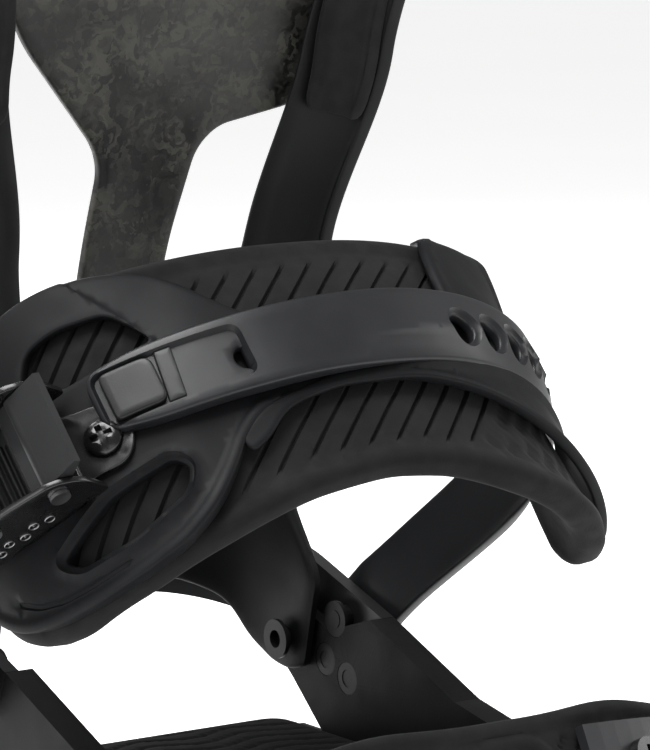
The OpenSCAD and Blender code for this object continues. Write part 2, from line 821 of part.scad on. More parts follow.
module toe_belt() {
    color([0.26, 0.26, 0.27]) toe_tilted() difference() {
        ribbon(concat(
            toe_path(16, 68, -1.4, 12),
            bezier(toe_point(68, -1.4), [toe_a, 24], [belt_x, 20], [belt_x, 8], 6),
            [[belt_x, -9]]
        ), 2.8, -toe_belt_w / 2, toe_belt_w / 2);
        x_cyl([0, 0], screw_d + 0.1, 50, 80);
        across_x(50, 80) difference() {
            translate([-20, -20]) square([40, 20]);
            circle(toe_belt_w / 2 - 0.01);
        }
        on_toe(30, 0) translate([0, 0, -8]) cylinder(d = screw_d + 0.1, h = 12);
        for (phi = [44, 56]) on_toe(phi, 0) translate([0, 0, -8]) cylinder(d = 5.4, h = 12);
    }
}

module toe_cap() {
    color([0.15, 0.15, 0.16]) toe_tilted() difference() {
        ribbon(toe_path(-58, 58, -6, 20), 5, -cap_w / 2, cap_w / 2);
        on_toe(0, 0) translate([0, 0, -20]) linear_extrude(30) rounded([22, 14], 6);
        on_toe(30, 0) translate([0, 0, -12]) cylinder(d = screw_d + 0.1, h = 16);
        on_toe(-38, 0) translate([0, 0, -12]) cylinder(d = screw_d + 0.6, h = 16);
    }
}

module toe_clip_screw() {
    color("silver") toe_tilted() on_toe(30, 0.1) down_screw(7.5);
}

module toe_buckle_bracket() {
    color([0.1, 0.1, 0.1]) toe_tilted() difference() {
        union() {
            on_toe(toe_buckle_phi, 1) buckle_bracket(bracket_w - 4);
            ribbon(toe_path(-58, -31, -3 + flange_t / 2, 8), flange_t, -8, 8);
        }
        on_toe(-38, 0) translate([0, 0, -12]) cylinder(d = screw_d + 0.1, h = 20);
    }
}

module toe_buckle_screw() {
    color("silver") toe_tilted() on_toe(-38, 0) translate([0, 0, -3 + flange_t + 0.7]) down_screw(7);
}

module toe_lever() {
    color([0.3, 0.3, 0.31]) toe_tilted() on_toe(toe_buckle_phi, 1) buckle_lever(bracket_w - 4, 36);
}

module toe_lever_pin() {
    color("silver") toe_tilted() on_toe(toe_buckle_phi, 1) buckle_pin(bracket_w - 4, lever_pin);
}

module toe_lever_spring() {
    color("silver") toe_tilted() on_toe(toe_buckle_phi, 1) lever_spring(bracket_w - 4);
}

module toe_pawl() {
    color([0.32, 0.32, 0.33]) toe_tilted() on_toe(toe_buckle_phi, 1) buckle_pawl(bracket_w - 4);
}

module toe_pawl_pin() {
    color("silver") toe_tilted() on_toe(toe_buckle_phi, 1) buckle_pin(bracket_w - 4, pawl_pin);
}

module toe_ladder() {
    color([0.16, 0.16, 0.17]) toe_tilted() {
        difference() {
            ribbon(concat(
                [[-belt_x, -9], [-belt_x, 2]],
                bezier([-belt_x, 2], [-belt_x, 14], toe_buckle_point(-19, 0.6), toe_buckle_point(-13, 0.6), 8),
                [toe_buckle_point(2, 0.6)]
            ), ladder_t, -7, 7);
            x_cyl([0, 0], screw_d + 0.1, -80, -50);
            across_x(-80, -50) difference() {
                translate([-20, -20]) square([40, 20]);
                circle(7 - 0.01);
            }
        }
        on_toe(toe_buckle_phi, 1) for (x = [-11.5 : tooth_pitch + 0.1 : 1]) {
            translate([x, 0, 0.6 + ladder_t / 2]) ladder_tooth(11);
        }
    }
}

slider_channel();
puck_bumper();
touring_pin();
touring_pin_handle();
touring_pin_clip();
base_tray();
deck_screws();
toe_ramp();
toe_ramp_screws();
footbed_toe();
footbed_heel();
heel_loop();
heel_loop_screws();
heel_loop_nuts();
highback_frame();
highback_panel();
highback_rivets();
highback_pad_left();
highback_pad_right();
highback_pivot_screws();
highback_pivot_nuts();
lean_track();
lean_block();
lean_lever();
lean_lever_axle();
ankle_pivot_screws();
ankle_pivot_nuts();
ankle_belt();
ankle_frame();
ankle_pad();
ankle_clip_block();
ankle_buckle_bracket();
ankle_buckle_screw();
ankle_buckle_nut();
ankle_lever();
ankle_lever_pin();
ankle_lever_spring();
ankle_pawl();
ankle_pawl_pin();
ankle_ladder();
toe_pivot_screws();
toe_pivot_nuts();
toe_belt();
toe_cap();
toe_clip_screw();
toe_buckle_bracket();
toe_buckle_screw();
toe_lever();
toe_lever_pin();
toe_lever_spring();
toe_pawl();
toe_pawl_pin();
toe_ladder();
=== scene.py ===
"""Looks of the strap touring binding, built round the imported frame. Metres; +Z up, toe towards -Y."""
import json
import math
import bmesh
import bpy
import numpy as np
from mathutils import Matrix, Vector
from mathutils.geometry import delaunay_2d_cdt


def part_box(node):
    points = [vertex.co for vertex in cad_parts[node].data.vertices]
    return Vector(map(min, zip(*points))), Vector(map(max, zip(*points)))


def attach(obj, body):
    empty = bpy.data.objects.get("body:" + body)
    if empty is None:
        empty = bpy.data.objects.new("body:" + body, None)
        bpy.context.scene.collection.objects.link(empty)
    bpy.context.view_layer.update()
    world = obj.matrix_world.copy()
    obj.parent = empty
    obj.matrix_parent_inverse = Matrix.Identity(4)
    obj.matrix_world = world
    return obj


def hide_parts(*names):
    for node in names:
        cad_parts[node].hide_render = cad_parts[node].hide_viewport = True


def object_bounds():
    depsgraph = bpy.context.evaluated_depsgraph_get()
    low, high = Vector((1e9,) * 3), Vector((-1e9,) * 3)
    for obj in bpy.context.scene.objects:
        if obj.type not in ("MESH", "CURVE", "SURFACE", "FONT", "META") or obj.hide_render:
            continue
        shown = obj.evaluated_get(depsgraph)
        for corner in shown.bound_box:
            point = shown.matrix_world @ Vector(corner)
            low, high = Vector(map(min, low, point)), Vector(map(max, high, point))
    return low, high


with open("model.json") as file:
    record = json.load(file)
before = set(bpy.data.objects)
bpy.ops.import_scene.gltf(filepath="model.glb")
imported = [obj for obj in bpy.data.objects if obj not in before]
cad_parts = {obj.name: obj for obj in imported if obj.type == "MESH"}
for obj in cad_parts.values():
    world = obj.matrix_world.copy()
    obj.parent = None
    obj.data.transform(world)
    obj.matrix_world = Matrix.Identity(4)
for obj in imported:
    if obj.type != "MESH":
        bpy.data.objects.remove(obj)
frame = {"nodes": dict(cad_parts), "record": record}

cad_box = [list(c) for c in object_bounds()]
MM = 0.001

# ---------------------------------------------------------------- camera, light, floor

AZIMUTH, ELEVATION, DISTANCE = math.radians(35), math.radians(8), 1.0
TARGET = Vector((0.0313, 0.0151, 0.132))
look = Vector((
    math.sin(AZIMUTH) * math.cos(ELEVATION),
    math.cos(AZIMUTH) * math.cos(ELEVATION),
    -math.sin(ELEVATION)))
cam = bpy.data.objects.new("camera", bpy.data.cameras.new("camera"))
bpy.context.collection.objects.link(cam)
cam.location = TARGET - look * DISTANCE
cam.rotation_euler = look.to_track_quat("-Z", "Y").to_euler()
cam.data.sensor_width = 36
cam.data.lens = 182.4
cam.data.clip_start = 0.05
bpy.context.scene.camera = cam


def area_light(name, at, aim, size, power):
    data = bpy.data.lights.new(name, "AREA")
    data.shape = "RECTANGLE"
    data.size, data.size_y = size
    data.energy = power
    o = bpy.data.objects.new(name, data)
    bpy.context.collection.objects.link(o)
    o.location = at
    o.rotation_euler = (Vector(aim) - Vector(at)).to_track_quat("-Z", "Y").to_euler()


HUB = (0, 0, 0.12)
area_light("key_above", (-0.25, 0.05, 1.2), HUB, (0.9, 0.6), 15)
area_light("strip_left", (-1.15, -0.25, 0.65), HUB, (0.35, 1.0), 3.5)
area_light("strip_right", (1.1, -0.35, 0.7), HUB, (0.4, 0.9), 3.5)
area_light("back_above", (0.2, 1.1, 0.9), HUB, (0.8, 0.5), 9)
area_light("front_low", (-0.35, -1.3, 0.3), HUB, (0.7, 0.3), 0.8)

world = bpy.data.worlds.new("studio")
bpy.context.scene.world = world
world.use_nodes = True
sky = world.node_tree.nodes["Background"]
sky.inputs[0].default_value = (1, 1, 1, 1)
seen = world.node_tree.nodes.new("ShaderNodeLightPath")
level = world.node_tree.nodes.new("ShaderNodeMapRange")
level.inputs["To Min"].default_value = 0.3
level.inputs["To Max"].default_value = 1.0
world.node_tree.links.new(seen.outputs["Is Camera Ray"], level.inputs["Value"])
world.node_tree.links.new(level.outputs["Result"], sky.inputs["Strength"])
bpy.context.scene.view_settings.view_transform = "Standard"

# ---------------------------------------------------------------- materials


class Shader:
    """A Principled material whose colour, roughness and bump come from object-space noise."""

    def __init__(self, name, rough, metal=0.0, specular=0.5, sheen=0.0, coat=0.0):
        self.mat = bpy.data.materials.new(name)
        self.mat.use_nodes = True
        self.tree = self.mat.node_tree
        self.bsdf = self.tree.nodes["Principled BSDF"]
        self.bsdf.inputs["Roughness"].default_value = rough
        self.bsdf.inputs["Metallic"].default_value = metal
        self.bsdf.inputs["Specular IOR Level"].default_value = specular
        self.bsdf.inputs["Sheen Weight"].default_value = sheen
        self.bsdf.inputs["Sheen Roughness"].default_value = 0.5
        self.bsdf.inputs["Coat Weight"].default_value = coat
        self.bsdf.inputs["Coat Roughness"].default_value = 0.25
        self.where = self.add("ShaderNodeTexCoord").outputs["Object"]
        self.height = None

    def add(self, kind, **links):
        node = self.tree.nodes.new(kind)
        for key, value in links.items():
            self.put(node.inputs[key.replace("_", " ")], value)
        return node

    def put(self, socket, value):
        if isinstance(value, bpy.types.NodeSocket):
            self.tree.links.new(value, socket)
        else:
            socket.default_value = value

    def noise(self, scale, detail=4.0, stretch=(1, 1, 1), distortion=0.0):
        where = self.add("ShaderNodeMapping", Vector=self.where)
        where.inputs["Scale"].default_value = stretch
        return self.add("ShaderNodeTexNoise", Vector=where.outputs[0], Scale=scale, Detail=detail,
                        Distortion=distortion).outputs["Fac"]

    def ramp(self, fac, *stops):
        node = self.add("ShaderNodeValToRGB", Fac=fac)
        while len(node.color_ramp.elements) < len(stops):
            node.color_ramp.elements.new(0.5)
        for element, (at, colour) in zip(node.color_ramp.elements, stops):
            element.position = at
            element.color = (*colour, 1) if len(colour) == 3 else colour
        return node.outputs["Color"]

    def mix(self, fac, a, b):
        node = self.add("ShaderNodeMix")
        node.data_type = "RGBA"
        self.put(node.inputs[0], fac)
        self.put(node.inputs[6], a)
        self.put(node.inputs[7], b)
        return node.outputs[2]

    def math(self, how, a, b=0.0):
        node = self.add("ShaderNodeMath")
        node.operation = how
        self.put(node.inputs[0], a)
        self.put(node.inputs[1], b)
        return node.outputs[0]

    def bump(self, height, strength, depth):
        node = self.add("ShaderNodeBump", Height=height, Strength=strength, Distance=depth)
        if self.height is not None:
            self.put(node.inputs["Normal"], self.height)
        self.height = node.outputs[0]
        self.put(self.bsdf.inputs["Normal"], self.height)

    def colour(self, value):
        self.put(self.bsdf.inputs["Base Color"], value)

    def roughness(self, low, high, scale, detail=3.0):
        fac = self.noise(scale, detail)
        self.put(self.bsdf.inputs["Roughness"], self.ramp(fac, (0.35, (low,) * 3), (0.65, (high,) * 3)))

    def worn(self, base, edge, amount=0.5):
        """Edges rubbed a little paler, by the mesh's pointiness."""
        point = self.add("ShaderNodeNewGeometry").outputs["Pointiness"]
        rub = self.ramp(self.math("ADD", point, self.math("MULTIPLY", self.noise(160, 5), 0.03)),
                        (0.53, (0, 0, 0)), (0.6, (amount,) * 3))
        return self.mix(rub, base, (*edge, 1))


def plastic(name, colour, rough, grain=2600, depth=0.00004, specular=0.45, wear=0.35, coat=0.0):
    """Moulded plastic: a spark-eroded grain, slow colour drift, and paler rubbed edges."""
    s = Shader(name, rough, specular=specular, coat=coat)
    dark, pale = tuple(c * 0.82 for c in colour), tuple(c * 1.2 for c in colour)
    drift = s.ramp(s.noise(34, 5), (0.3, dark), (0.7, pale))
    s.colour(s.worn(drift, tuple(min(1, c * 2.1 + 0.012) for c in colour), wear))
    s.roughness(rough - 0.05, rough + 0.07, 55, 5)
    s.bump(s.noise(grain, 3), 0.55, depth)
    s.bump(s.noise(90, 2), 0.25, 0.00012)
    return s.mat


def metal(name, colour, rough, brushed=(1, 1, 1)):
    """Bare metal with a fine grain, stretched where it is brushed."""
    s = Shader(name, rough, metal=1.0)
    dark, pale = tuple(c * 0.86 for c in colour), tuple(min(1, c * 1.08) for c in colour)
    drift = s.ramp(s.noise(48, 6), (0.3, dark), (0.7, pale))
    s.colour(s.worn(drift, tuple(min(1, c * 1.3) for c in colour), 0.3))
    s.roughness(rough - 0.06, rough + 0.08, 120, 5)
    s.bump(s.noise(1100, 3, brushed), 0.35, 0.00005)
    return s.mat


def foam(name, colour, rough=0.86, cell=1500):
    """Moulded EVA foam: fine closed cells and a soft sheen."""
    s = Shader(name, rough, specular=0.18, sheen=0.04)
    dark, pale = tuple(c * 0.8 for c in colour), tuple(c * 1.25 for c in colour)
    s.colour(s.ramp(s.noise(60, 6), (0.3, dark), (0.7, pale)))
    s.roughness(rough - 0.08, min(1, rough + 0.06), 200, 4)
    s.bump(s.noise(cell, 4), 0.6, 0.00009)
    s.bump(s.noise(120, 2), 0.3, 0.0002)
    return s.mat


def forged_carbon(name):
    """Chopped carbon flakes pressed at random angles, under a thin satin skin."""
    s = Shader(name, 0.42, specular=0.35, coat=0.05)
    swirl = s.add("ShaderNodeTexNoise", Vector=s.where, Scale=110, Detail=3).outputs["Color"]
    warp = s.mix(0.035, s.where, swirl)
    flakes = []
    for scale, stretch in ((150, (1, 1, 0.5)), (95, (0.6, 1, 1.3)), (240, (1, 1, 1))):
        m = s.add("ShaderNodeMapping", Vector=warp)
        m.inputs["Scale"].default_value = stretch
        m.inputs["Rotation"].default_value = (0.3, 0.9 * scale / 100, 0.2)
        cell = s.add("ShaderNodeTexVoronoi", Vector=m.outputs[0], Scale=scale)
        cell.distance = "CHEBYCHEV"
        flakes.append(cell.outputs["Color"])
    mixed = s.mix(0.5, s.mix(0.5, flakes[0], flakes[1]), flakes[2])
    grey = s.add("ShaderNodeRGBToBW", Color=mixed).outputs[0]
    cloud = s.noise(42, 5, distortion=0.6)
    tone = s.math("ADD", s.math("MULTIPLY", grey, 0.55), s.math("MULTIPLY", cloud, 0.55))
    s.colour(s.ramp(tone, (0.40, (0.004, 0.004, 0.0035)), (0.50, (0.011, 0.011, 0.0095)),
                    (0.58, (0.027, 0.0265, 0.0225)), (0.70, (0.06, 0.059, 0.049))))
    s.put(s.bsdf.inputs["Roughness"], s.ramp(grey, (0.3, (0.34,) * 3), (0.7, (0.58,) * 3)))
    s.bump(grey, 0.3, 0.0001)
    s.bump(s.noise(1900, 2), 0.25, 0.00003)
    return s.mat


MATERIALS = {
    "aluminium_raw": metal("bead_blasted_aluminium", (0.55, 0.56, 0.58), 0.42, (1, 0.12, 1)),
    "base_nylon": plastic("glass_filled_nylon", (0.0055, 0.0055, 0.0062), 0.54, 1900, 0.00006, 0.12),
    "loop_metal": plastic("coated_loop", (0.0095, 0.0095, 0.0105), 0.36, 3000, 0.00003, 0.34, 0.3, 0.06),
    "steel": metal("zinc_steel", (0.36, 0.36, 0.37), 0.3),
    "black_metal": plastic(
        "black_lacquered_steel", (0.005, 0.005, 0.0055), 0.24, 3000, 0.00002, 0.5, 0.25, 0.25),
    "back_plastic": plastic("highback_nylon", (0.0078, 0.008, 0.0086), 0.52, 2200, 0.00005, 0.16),
    "forged_carbon": forged_carbon("forged_carbon"),
    "blackened_metal": plastic("blackened_fastener", (0.006, 0.006, 0.0065), 0.42, 3000, 0.00002, 0.16, 0.3),
    "soft_pad": foam("pad_foam", (0.0095, 0.0095, 0.01)),
    "strap_frame": plastic("strap_frame_plastic", (0.0075, 0.0078, 0.0088), 0.5, 2600, 0.00003, 0.13),
    "strap_belt": plastic(
        "strap_belt_plastic", (0.0125, 0.013, 0.0148), 0.37, 2600, 0.000025, 0.38, 0.3, 0.05),
    "lever_plastic": plastic("lever_plastic", (0.0125, 0.0128, 0.0135), 0.34, 2600, 0.00003, 0.36),
    "ladder_plastic": plastic("ladder_plastic", (0.0085, 0.0085, 0.009), 0.4, specular=0.3),
    "footbed_foam": foam("footbed_foam", (0.009, 0.009, 0.0095), 0.9, 1100),
}

floor_shader = Shader("pale_floor", 0.7, specular=0.2)
floor_shader.colour(floor_shader.ramp(floor_shader.noise(3, 3), (0.3, (0.9,) * 3), (0.7, (0.93,) * 3)))
floor_shader.bsdf.inputs["Emission Color"].default_value = (1, 1, 1, 1)
floor_shader.bsdf.inputs["Emission Strength"].default_value = 0.62
floor_shader.bump(floor_shader.noise(240, 3), 0.1, 0.0002)
mesh = bpy.data.meshes.new("floor")
REACH = 6.0
corners = [(-REACH, -REACH, 0), (REACH, -REACH, 0), (REACH, REACH, 0), (-REACH, REACH, 0)]
mesh.from_pydata(corners, [], [(0, 1, 2, 3)])
mesh.materials.append(floor_shader.mat)
floor = bpy.data.objects.new("floor", mesh)
bpy.context.collection.objects.link(floor)
floor.location.z = cad_box[0][2] - 0.0005

# ---------------------------------------------------------------- shape tools
# Millimetres until a piece is placed.


def fillet(points, r=3.0, turns=6):
    """The closed outline with each corner rounded; a point may carry its own radius as a third number."""
    out = []
    n = len(points)
    for i, p in enumerate(points):
        radius = p[2] if len(p) > 2 else r
        at, before, after = (np.array(points[k % n][:2], float) for k in (i, i - 1, i + 1))
        a, b = before - at, after - at
        la, lb = np.linalg.norm(a), np.linalg.norm(b)
        cut = min(radius, la * 0.48, lb * 0.48)
        start, end = at + a / la * cut, at + b / lb * cut
        for k in range(turns + 1):
            t = k / turns
            out.append((1 - t) ** 2 * start + 2 * t * (1 - t) * at + t * t * end)
    return np.array(out)


def spaced(ring, step):
    """A closed ring resampled so that no side is longer than step, and none is near zero."""
    ring = [p for i, p in enumerate(ring) if np.linalg.norm(p - ring[i - 1]) > 0.05]
    out = []
    for i, p in enumerate(ring):
        q = ring[(i + 1) % len(ring)]
        parts = max(1, math.ceil(np.linalg.norm(q - p) / step))
        out += [p + (q - p) * k / parts for k in range(parts)]
    out = np.array(out)
    area = np.sum(out[:, 0] * np.roll(out[:, 1], -1) - np.roll(out[:, 0], -1) * out[:, 1])
    return out if area > 0 else out[::-1]


def circle(u, v, r, n=20):
    turns = [2 * math.pi * k / n for k in range(n)]
    return [(u + r * math.cos(a), v + r * math.sin(a), 0.01) for a in turns]


def stadium(u, v, l, w, n=10):
    """A slot of that length along u and width along v, with round ends."""
    out = []
    for side in (0, 1):
        for k in range(n + 1):
            a = math.pi * (k / n - 0.5) + math.pi * side
            centre = u + (l - w) / 2 * (1 - 2 * side)
            out.append((centre + w / 2 * math.cos(a), v + w / 2 * math.sin(a), 0.01))
    return out


def inside(points, ring):
    """Which points lie inside the ring, by counting the sides to their right."""
    x, y = points[:, 0:1], points[:, 1:2]
    ax, ay = ring[:, 0], ring[:, 1]
    bx, by = np.roll(ax, -1), np.roll(ay, -1)
    with np.errstate(divide="ignore", invalid="ignore"):
        hit = ((ay > y) != (by > y)) & (x < (bx - ax) * (y - ay) / (by - ay) + ax)
    return hit.sum(1) % 2 == 1


def distance(points, rings):
    """Each point's distance to the nearest ring."""
    best = np.full(len(points), 1e9)
    for ring in rings:
        a, b = ring, np.roll(ring, -1, 0)
        ab = b - a
        for lo in range(0, len(points), 4000):
            p = points[lo:lo + 4000, None, :]
            t = np.clip(((p - a) * ab).sum(2) / np.maximum((ab * ab).sum(1), 1e-9), 0, 1)
            gap = np.linalg.norm(p - (a + t[..., None] * ab), axis=2).min(1)
            best[lo:lo + 4000] = np.minimum(best[lo:lo + 4000], gap)
    return best


def rounded_drop(d, r):
    """How far a face falls below its level, at distance d from an edge rounded by r."""
    k = np.clip(1 - d / r, 0, 1)
    return r * (1 - np.sqrt(np.maximum(0, 1 - k * k)))


def smooth(x, lo, hi):
    """0 below lo, 1 above hi, and a smooth step between."""
    t = np.clip((x - lo) / (hi - lo), 0, 1)
    return t * t * (3 - 2 * t)


def make(name, verts_mm, faces, body, slot, replaces=(), sharp=40.0):
    """A mesh piece from millimetre points, on its body, in its slot's material."""
    me = bpy.data.meshes.new(name)
    me.from_pydata([tuple(v) for v in np.asarray(verts_mm) * MM], [], faces)
    bm = bmesh.new()
    bm.from_mesh(me)
    bmesh.ops.remove_doubles(bm, verts=bm.verts, dist=0.00001)
    bmesh.ops.recalc_face_normals(bm, faces=bm.faces)
    for edge in bm.edges:
        edge.smooth = len(edge.link_faces) == 2 and edge.calc_face_angle(0) < math.radians(sharp)
    for face in bm.faces:
        face.smooth = True
    bm.to_mesh(me)
    bm.free()
    me.materials.append(MATERIALS[slot])
    o = bpy.data.objects.new(name, me)
    bpy.context.collection.objects.link(o)
    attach(o, body)
    if replaces:
        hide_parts(*replaces)
    return o


def plate_shape(outline, holes, low, high, edge, place, step=2.4, r=3.0, top=None, bottom=None, lines=()):
    """(points, faces) of a plate with rounded rims, cut in (u, v) and bent by place(u, v, h).

    top and bottom shape its faces, and lines are paths in (u, v) that its triangles follow."""
    rings = [spaced(fillet(outline, r), min(step, 1.8))] + [spaced(fillet(h, r), 1.3) for h in holes]
    rows = []
    for ring_no, ring in enumerate(rings):
        side = np.roll(ring, -1, 0) - np.roll(ring, 1, 0)
        normal = np.stack([-side[:, 1], side[:, 0]], 1) / np.linalg.norm(side, axis=1)[:, None]
        for share in (0.12, 0.4, 1.0):
            inset = ring + normal * edge * share * (1 if ring_no == 0 else -1)
            rows.append(inset[distance(inset, rings) > edge * share * 0.97])
    lo, hi = rings[0].min(0), rings[0].max(0)
    across, up = (np.arange(lo[k] + step / 2, hi[k], step) for k in (0, 1))
    grid = np.stack(np.meshgrid(across, up), 2).reshape(-1, 2)
    grid = grid[distance(grid, rings) > edge + 0.45 * step]

    def within(p):
        keep = inside(p, rings[0]) & (distance(p, rings) > edge + 0.15)
        for hole in rings[1:]:
            keep &= ~inside(p, hole)
        return keep

    edges, start = [], 0
    for ring in rings:
        n = len(ring)
        edges += [(start + k, start + (k + 1) % n) for k in range(n)]
        start += n
    flat = np.concatenate(rings)
    for line in lines:
        line = np.asarray(line, float)
        keep = within(line)
        number = len(flat) + np.cumsum(keep) - 1
        pairs = [k for k in range(len(line) - 1) if keep[k] and keep[k + 1]]
        edges += [(int(number[k]), int(number[k + 1])) for k in pairs]
        flat = np.concatenate([flat, line[keep]])
    free = np.concatenate(rows + [grid])
    free = free[inside(free, rings[0])]
    for hole in rings[1:]:
        free = free[~inside(free, hole)]
    if len(lines):
        drawn = flat[sum(len(x) for x in rings):]
        clear = np.full(len(free), 1e9)
        for lo in range(0, len(free), 1000):
            clear[lo:lo + 1000] = np.min(np.linalg.norm(free[lo:lo + 1000, None] - drawn[None], axis=2), 1)
        free = free[clear > 0.75]
    flat = np.concatenate([flat, free])
    out_v, _, tris, orig, _, _ = delaunay_2d_cdt([Vector(p) for p in flat], edges, [], 0, 1e-5)
    pts = np.array([tuple(v) for v in out_v])
    tris = np.array([t for t in tris if len(t) == 3])
    mid = pts[tris].mean(1)
    good = inside(mid, rings[0])
    for hole in rings[1:]:
        good &= ~inside(mid, hole)
    tris = tris[good]
    d = distance(pts, rings)
    u, v = pts[:, 0], pts[:, 1]
    h_top = high + (top(u, v, d) if top else 0) - rounded_drop(d, edge)
    h_low = low + (bottom(u, v, d) if bottom else 0) + rounded_drop(d, edge)
    h_low = np.minimum(h_low, h_top - 0.1)
    n = len(pts)
    verts = np.concatenate([place(u, v, h_top), place(u, v, h_low)])
    count = {}
    for a, b, c in tris:
        for p, q in ((a, b), (b, c), (c, a)):
            count[(p, q)] = count.get((p, q), 0) + 1
    wall = [(q, p, p + n, q + n) for (p, q) in count if (q, p) not in count]
    faces = [tuple(map(int, t)) for t in tris] + [(int(c) + n, int(b) + n, int(a) + n) for a, b, c in tris]
    return verts, faces + [tuple(map(int, w)) for w in wall]


def join(*shapes):
    """Several (points, faces) as one."""
    verts, faces, at = [], [], 0
    for v, f in shapes:
        verts.append(v)
        faces += [tuple(i + at for i in face) for face in f]
        at += len(v)
    return np.concatenate(verts), faces


def lathe(profile, place, n=40):
    """(points, faces) of a turned solid; profile is (radius, height) from bottom to top."""
    verts, faces = [], []
    turns = [2 * math.pi * k / n for k in range(n)]
    for r, h in profile:
        verts += [(r * math.cos(a), r * math.sin(a), h) for a in turns]
    rows = len(profile)
    for i in range(rows - 1):
        for k in range(n):
            a, b = i * n + k, i * n + (k + 1) % n
            faces.append((a, b, b + n, a + n))
    faces += [tuple(range(n))[::-1], tuple(range((rows - 1) * n, rows * n))]
    v = np.array(verts)
    return place(v[:, 0], v[:, 1], v[:, 2]), faces


def wire_ring(points, r, n):
    """(points, faces) of a round wire along a closed ring of millimetre points in the world."""
    pts = np.array(points, float)
    turns = [2 * math.pi * k / n for k in range(n)]
    verts, faces = [], []
    side = None
    for i, p in enumerate(pts):
        ahead, behind = pts[(i + 1) % len(pts)], pts[i - 1]
        t = (ahead - behind) / np.linalg.norm(ahead - behind)
        side = np.cross(t, (0.3, 0.5, 0.81)) if side is None else side - t * np.dot(side, t)
        side = side / np.linalg.norm(side)
        up = np.cross(t, side)
        verts += [p + r * (side * math.cos(a) + up * math.sin(a)) for a in turns]
    for i in range(len(pts)):
        j = (i + 1) % len(pts)
        for k in range(n):
            faces.append((i * n + k, i * n + (k + 1) % n, j * n + (k + 1) % n, j * n + k))
    return np.array(verts), faces


def tilted(pivot, degrees):
    """place function of a strap: x across the binding, v toward the knee, z out of the instep."""
    a = math.radians(degrees)
    return lambda x, v, z: np.stack([
        x, pivot[0] + v * math.cos(a) - z * math.sin(a), pivot[1] + v * math.sin(a) + z * math.cos(a)], 1)


class Line:
    """A smooth open path in a plane, measured by its length, with offsets to its left."""

    def __init__(self, points):
        p = np.array(points, float)
        seg = np.linalg.norm(np.diff(p, axis=0), axis=1)
        self.s = np.concatenate([[0], np.cumsum(seg)])
        self.p = p
        t = np.gradient(p, self.s, axis=0)
        t /= np.linalg.norm(t, axis=1)[:, None]
        self.n = np.stack([-t[:, 1], t[:, 0]], 1)

    def at(self, s, h):
        s = np.asarray(s, float)
        p = np.stack([np.interp(s, self.s, self.p[:, k]) for k in (0, 1)], 1)
        n = np.stack([np.interp(s, self.s, self.n[:, k]) for k in (0, 1)], 1)
        n /= np.linalg.norm(n, axis=1)[:, None]
        over = np.where(s > self.s[-1], s - self.s[-1], np.where(s < 0, s, 0))[:, None]
        along = np.stack([n[:, 1], -n[:, 0]], 1)
        return p + n * np.asarray(h)[:, None] + along * over


def bezier(a, b, c, d, n=16):
    a, b, c, d = (np.array(x, float) for x in (a, b, c, d))
    return [(1 - t) ** 3 * a + 3 * (1 - t) ** 2 * t * b + 3 * (1 - t) * t * t * c + t ** 3 * d
            for t in np.linspace(0, 1, n + 1)]

# ---------------------------------------------------------------- ankle strap

ANKLE = tilted((41.5, 59.5), 45)
A_LEFT, A_RIGHT, A_RISE, A_BASE = 96.0, 82.0, 66.0, 69.0
BELT_X = 63.6
PHI = np.linspace(-108, 90, 199)


def arch(phi, d, left=A_LEFT, right=A_RIGHT, rise=A_RISE, base=A_BASE):
    p = np.radians(phi)
    return (np.where(p < 0, left, right) + d) * np.sin(p), base + (rise + d) * np.cos(p)


arch_points = np.stack(arch(PHI, 0), 1)
last = arch_points[-1]
drop_x = BELT_X + 2.1
bend = bezier(last, (81, 46), (71, 32), (drop_x, 10))[1:]
belt_line = Line(list(arch_points) + bend + [(drop_x, z) for z in (4, 0, -6, -12)])
ARC = belt_line.s[:len(PHI)]
pivot_s = belt_line.s[-3]


def along(phi):
    return float(np.interp(phi, PHI, ARC))


def on_belt(s, v, h):
    p = belt_line.at(s, h)
    return ANKLE(p[:, 0], v, p[:, 1])


def on_saddle(s, v, h):
    """The surface the pad and frame share: flatter and wider toward the knee."""
    phi = np.interp(s, ARC, PHI)
    up = np.clip(np.maximum(v, 0) / 38, 0, 1.15) ** 2
    low = np.clip(np.maximum(-v, 0) / 42, 0, 1.15) ** 2
    right, rise = A_RIGHT + 9 * up + 2 * low, A_RISE - 9 * up + 2 * low
    x, z = arch(phi, h, A_LEFT - 2 * low, right, rise, A_BASE + 2 * up)
    return ANKLE(x, v, z)


def on_arch_at(phi, v, lift):
    """place function of a turned part that stands on the arch."""
    p = math.radians(phi)
    a = A_LEFT if phi < 0 else A_RIGHT
    n = np.array((math.sin(p) / a, math.cos(p) / A_RISE))
    n /= np.linalg.norm(n)
    x0, z0 = (float(c) for c in arch(phi, 0))

    def place(x, y, z):
        return ANKLE(x0 + x * n[1] + (z + lift) * n[0], v + y, z0 - x * n[0] + (z + lift) * n[1])
    return place


def trench(path, width, depth):
    """A groove's height along a path of (phi, v) points."""
    line = np.array([(along(p), v) for p, v in path])

    def height(u, v):
        pts = np.stack([u, v], 1)
        best = np.full(len(pts), 1e9)
        for a, b in zip(line[:-1], line[1:]):
            t = np.clip(((pts - a) @ (b - a)) / ((b - a) @ (b - a)), 0, 1)
            best = np.minimum(best, np.linalg.norm(pts - a - t[:, None] * (b - a), axis=1))
        return -depth * (1 - smooth(best, width * 0.28, width * 0.62))
    return height


